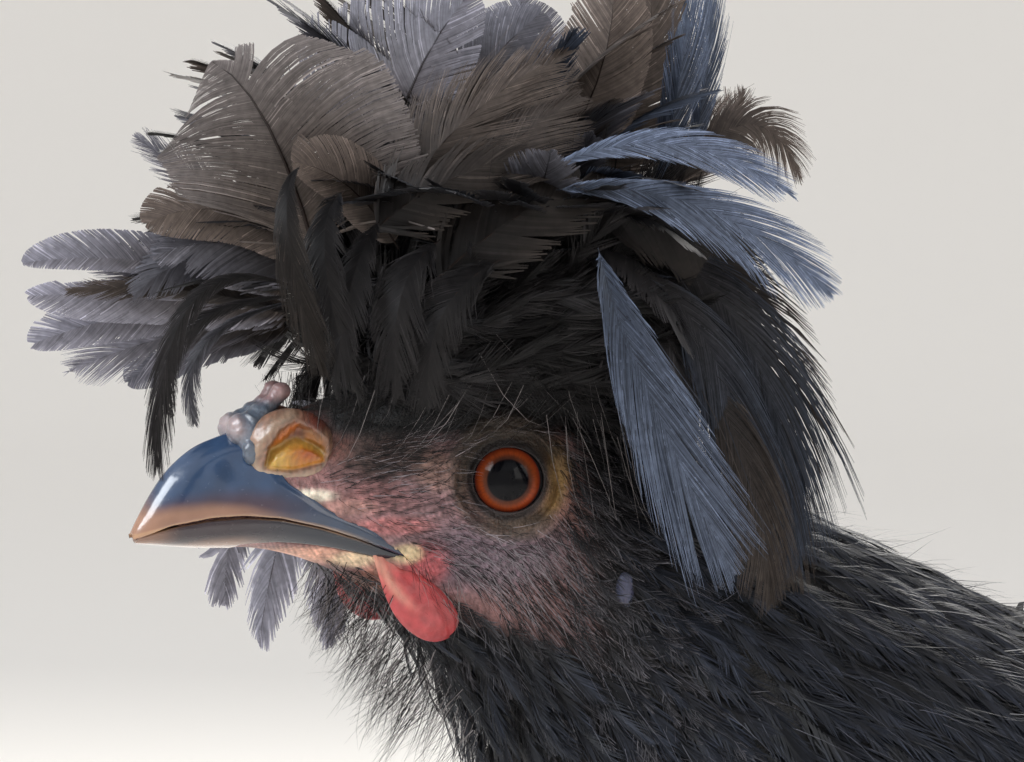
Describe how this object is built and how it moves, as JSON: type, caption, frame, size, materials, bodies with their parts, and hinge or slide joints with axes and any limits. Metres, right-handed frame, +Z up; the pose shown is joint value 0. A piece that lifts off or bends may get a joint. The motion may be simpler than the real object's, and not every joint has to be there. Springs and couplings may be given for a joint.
{
  "type": "polish crested chicken",
  "caption": "Life-size still model of a crested hen standing at rest, with a mop of long feathers over its crown, for display on a floor, shelf or plinth.",
  "frame": {"origin": "on the floor, under the middle of the bird's bounding box", "axes": "the bird faces -Y, its left side is at +X, and +Z is up from the floor"},
  "size_m": [0.1588, 0.3944, 0.3601],
  "materials": {
    "plumage": "black feathers with a blue-grey sheen",
    "skin": "bare pinkish face skin, finely wrinkled",
    "horn": "glossy blue-grey beak horn with a pale tip",
    "iris": "wet orange-red iris with a black pupil",
    "comb": "red, fleshy",
    "wattle": "coral red, fleshy, slightly moist",
    "earlobe": "bluish white, soft",
    "shank": "slate scales",
    "claw": "dark horn"
  },
  "bodies": {
    "root": {"head": "skin", "beak_upper": "horn", "beak_lower": "horn", "comb": "comb", "crest": "plumage", "neck": "plumage", "torso": "plumage", "tail": "plumage", "eye_left": "iris", "wattle_left": "wattle", "earlobe_left": "earlobe", "wing_left": "plumage", "thigh_left": "plumage", "shank_left": "shank", "foot_left": "shank", "claw_left_inner": "claw", "claw_left_middle": "claw", "claw_left_outer": "claw", "claw_left_back": "claw", "eye_right": "iris", "wattle_right": "wattle", "earlobe_right": "earlobe", "wing_right": "plumage", "thigh_right": "plumage", "shank_right": "shank", "foot_right": "shank", "claw_right_inner": "claw", "claw_right_middle": "claw", "claw_right_outer": "claw", "claw_right_back": "claw"}
  },
  "joints": []
}
